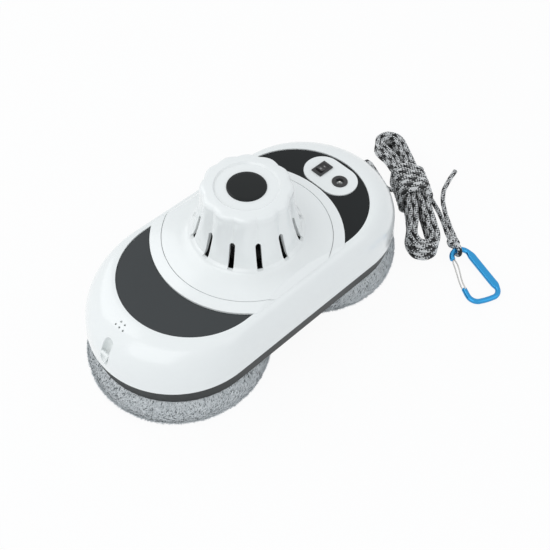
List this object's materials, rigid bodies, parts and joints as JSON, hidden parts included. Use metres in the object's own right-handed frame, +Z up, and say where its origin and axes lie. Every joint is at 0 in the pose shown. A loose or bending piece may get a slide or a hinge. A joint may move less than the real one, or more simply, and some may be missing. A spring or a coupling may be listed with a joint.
{
  "type": "window cleaning robot",
  "caption": "Stadium-shaped window cleaning robot on two spinning plush mop pads, with a fluted fan tower, dark top panels, a rocker switch and a bundled safety rope with a snap hook.",
  "frame": {"origin": "middle of the robot's footprint, at the height of the surface that its two mop pads stand on", "axes": "+X along the body towards the end with the switch and the charging socket, +Z up out of the wiped surface, +Y completes the right hand"},
  "size_m": [0.3894, 0.221, 0.1315],
  "materials": {
    "white_shell": "gloss",
    "dark_panel": "mirror gloss",
    "dark_base": "satin",
    "black_plastic": "satin",
    "plush": "plush",
    "hook_tape": "rough",
    "gear_plastic": "satin",
    "bush_brass": "turned",
    "steel": "brushed",
    "board": "satin",
    "battery_wrap": "shrink film",
    "rope": "braided",
    "hook_blue": "anodised gloss"
  },
  "bodies": {
    "robot_body": {"top_shell": "white_shell", "fan_tower": "white_shell", "tower_cap": "dark_panel", "near_crescent_panel": "dark_panel", "far_crescent_panel": "dark_panel", "switch_bezel": "white_shell", "switch_body": "black_plastic", "dc_jack_body": "black_plastic", "dc_jack_pin": "steel", "base_housing": "dark_base", "housing_screws": "steel", "near_hub_bush": "bush_brass", "near_gearmotor": "steel", "far_hub_bush": "bush_brass", "far_gearmotor": "steel", "motor_screws": "steel", "suction_duct": "black_plastic", "fan_housing": "black_plastic", "fan_cover": "black_plastic", "fan_motor": "steel", "control_board": "board", "backup_battery": "battery_wrap", "alert_speaker": "black_plastic", "rope_hitch": "rope", "rope_lead": "rope", "rope_hank": "rope", "rope_wraps": "rope", "rope_line": "rope", "rope_knot": "rope", "rope_tail": "rope", "rope_eye": "rope", "carabiner_body": "hook_blue"},
    "near_pad_wheel": {"near_pad_plate": "dark_base", "near_hook_ring": "hook_tape", "near_mop_pad": "plush", "near_hub_tube": "steel", "near_drive_gear": "gear_plastic"},
    "far_pad_wheel": {"far_pad_plate": "dark_base", "far_hook_ring": "hook_tape", "far_mop_pad": "plush", "far_hub_tube": "steel", "far_drive_gear": "gear_plastic"},
    "near_pinion_shaft": {"near_pinion": "steel"},
    "far_pinion_shaft": {"far_pinion": "steel"},
    "fan_rotor": {"fan_impeller": "black_plastic", "fan_shaft": "steel"},
    "rocker": {"switch_rocker": "black_plastic"},
    "hook_gate": {"carabiner_gate": "steel"}
  },
  "joints": [
    {"name": "near_pad_spin", "type": "hinge", "parent": "robot_body", "child": "near_pad_wheel", "pos_m": [-0.074, 0, 0], "axis": [0, 0, 1], "continuous": true},
    {"name": "far_pad_spin", "type": "hinge", "parent": "robot_body", "child": "far_pad_wheel", "pos_m": [0.074, 0, 0], "axis": [0, 0, 1], "continuous": true},
    {"name": "near_pinion_spin", "type": "hinge", "parent": "robot_body", "child": "near_pinion_shaft", "pos_m": [-0.0524, 0.03741, 0.034], "axis": [0, 0, 1], "continuous": true},
    {"name": "far_pinion_spin", "type": "hinge", "parent": "robot_body", "child": "far_pinion_shaft", "pos_m": [0.0524, -0.03741, 0.034], "axis": [0, 0, 1], "continuous": true},
    {"name": "fan_spin", "type": "hinge", "parent": "robot_body", "child": "fan_rotor", "pos_m": [0, 0, 0.06], "axis": [0, 0, 1], "continuous": true},
    {"name": "switch_rock", "type": "hinge", "parent": "robot_body", "child": "rocker", "pos_m": [0.0925, 0.0095, 0.0769], "axis": [0, -1, 0], "range_deg": [0, 18]},
    {"name": "hook_gate_swing", "type": "hinge", "parent": "robot_body", "child": "hook_gate", "pos_m": [0.13372, -0.12366, 0.00385], "axis": [0.0343, 0.0763, -0.9965], "range_deg": [0, 25], "stiffness_Nm_per_rad": 0.05, "springref_deg": -5.73}
  ],
  "couplings": [
    {"joint": "near_pinion_spin", "follows": "near_pad_spin", "ratio": -5},
    {"joint": "far_pinion_spin", "follows": "far_pad_spin", "ratio": -5}
  ]
}
